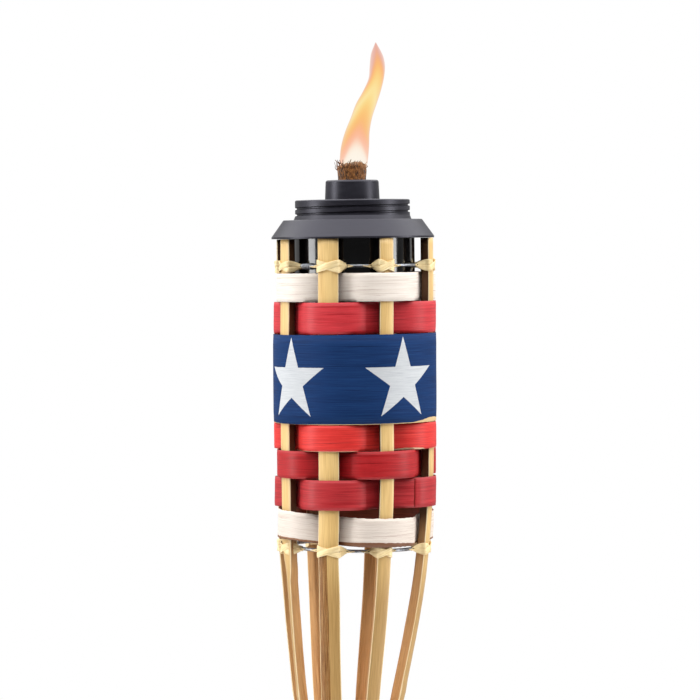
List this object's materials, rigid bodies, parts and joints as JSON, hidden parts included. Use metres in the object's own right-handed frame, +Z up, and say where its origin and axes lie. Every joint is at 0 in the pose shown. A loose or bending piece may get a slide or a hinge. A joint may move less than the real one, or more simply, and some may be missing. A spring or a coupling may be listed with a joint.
{
  "type": "tiki torch",
  "caption": "Bamboo garden torch with a split, woven basket head, a lift-out fuel canister and a rope wick.",
  "frame": {"origin": "on the pole's axis, level with the tip of its ground point", "axes": "+Z up the pole to the wick, -Y towards the front"},
  "size_m": [0.096, 0.096, 1.448],
  "materials": {
    "bamboo_culm": "satin",
    "bamboo_slat": "satin",
    "white_splint": "satin",
    "red_splint": "satin",
    "blue_splint": "satin",
    "cane": "satin",
    "steel_wire": "dull",
    "black_enamel": "gloss",
    "black_plastic": "matte",
    "seal_rubber": "matte",
    "sleeve_steel": "dull",
    "wick_fibre": "matte"
  },
  "bodies": {
    "torch": {"pole": "bamboo_culm", "slat_1": "bamboo_slat", "slat_2": "bamboo_slat", "slat_3": "bamboo_slat", "slat_4": "bamboo_slat", "slat_5": "bamboo_slat", "slat_6": "bamboo_slat", "slat_7": "bamboo_slat", "slat_8": "bamboo_slat", "strip_1_white": "white_splint", "strip_2_red": "red_splint", "strip_3_blue_band": "blue_splint", "strip_4_red": "red_splint", "strip_5_red": "red_splint", "strip_6_red": "red_splint", "strip_7_white": "white_splint", "top_hoop": "steel_wire", "bottom_hoop": "steel_wire", "top_lashings": "cane", "bottom_lashings": "cane", "split_stop_wire": "steel_wire"},
    "canister": {"fuel_can": "black_enamel", "neck_collar": "black_plastic", "can_seal": "seal_rubber"},
    "seal": {"lid_seal": "seal_rubber"},
    "lid": {"wick_lid": "black_plastic", "wick_sleeve": "sleeve_steel"},
    "wick_rope": {"wick": "wick_fibre"}
  },
  "joints": [
    {"name": "canister_lift", "type": "slide", "parent": "torch", "child": "canister", "axis": [0, 0, 1], "range_m": [0, 0.13]},
    {"name": "lid_lift", "type": "slide", "parent": "canister", "child": "seal", "axis": [0, 0, 1], "range_m": [0, 0.12]},
    {"name": "lid_turn", "type": "hinge", "parent": "seal", "child": "lid", "pos_m": [0, 0, 1.404], "axis": [0, 0, 1], "continuous": true},
    {"name": "wick_feed", "type": "slide", "parent": "lid", "child": "wick_rope", "axis": [0, 0, 1], "range_m": [-0.008, 0.012]}
  ]
}
